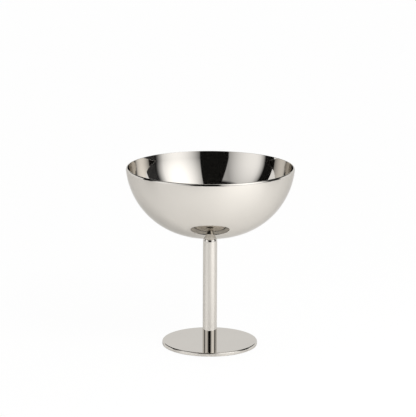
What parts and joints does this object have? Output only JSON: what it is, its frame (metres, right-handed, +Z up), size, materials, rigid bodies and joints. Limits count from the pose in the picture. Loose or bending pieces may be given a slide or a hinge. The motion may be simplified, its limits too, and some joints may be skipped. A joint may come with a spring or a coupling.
{
  "type": "ice cream cup",
  "caption": "Stemmed ice cream cup in mirror-polished stainless steel: deep round bowl on a straight round stem with a flat disc foot.",
  "frame": {"origin": "centre of the foot's underside", "axes": "+Z up along the stem, the axis of the whole cup"},
  "size_m": [0.1, 0.1, 0.1084],
  "materials": {
    "bowl_steel": "polished",
    "stem_steel": "polished",
    "foot_steel": "polished"
  },
  "bodies": {
    "root": {"bowl": "bowl_steel", "stem": "stem_steel", "foot": "foot_steel"}
  },
  "joints": []
}
